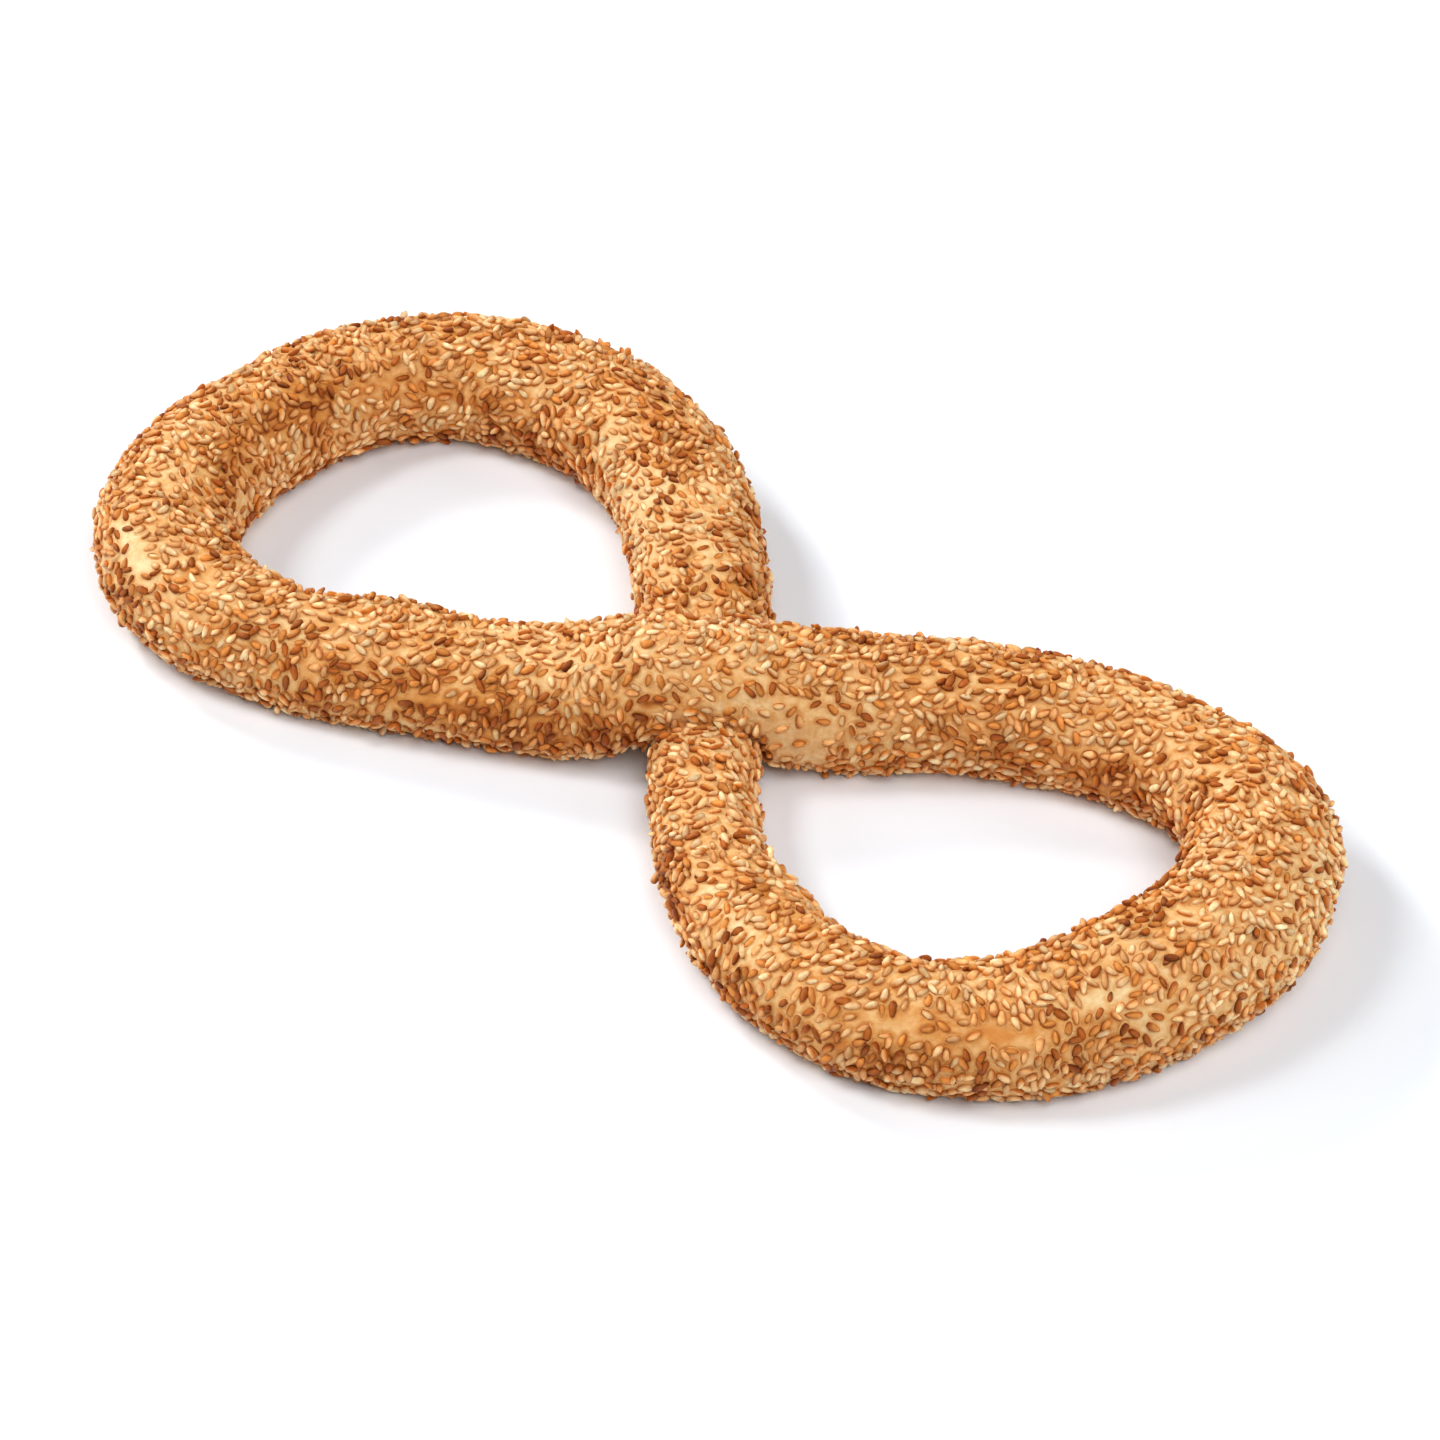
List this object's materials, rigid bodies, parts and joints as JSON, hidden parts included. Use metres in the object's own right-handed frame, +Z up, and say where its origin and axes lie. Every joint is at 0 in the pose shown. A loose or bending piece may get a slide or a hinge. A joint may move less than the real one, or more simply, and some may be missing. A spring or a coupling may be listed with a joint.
{
  "type": "simit",
  "caption": "Figure-of-eight ring of bread, one hand-rolled rope of dough crossed over itself and crusted all over with toasted sesame seeds.",
  "frame": {"origin": "middle of the footprint, on the surface the bread lies on", "axes": "+X along the long side of the figure of eight towards the near loop, +Y across it towards both loops' crests, +Z up out of the surface"},
  "size_m": [0.2842, 0.131, 0.0298],
  "materials": {
    "crust": "matte baked crust, golden to toasted brown",
    "sesame": "satin toasted sesame seed hulls"
  },
  "bodies": {
    "root": {"simit": "crust"}
  },
  "joints": []
}
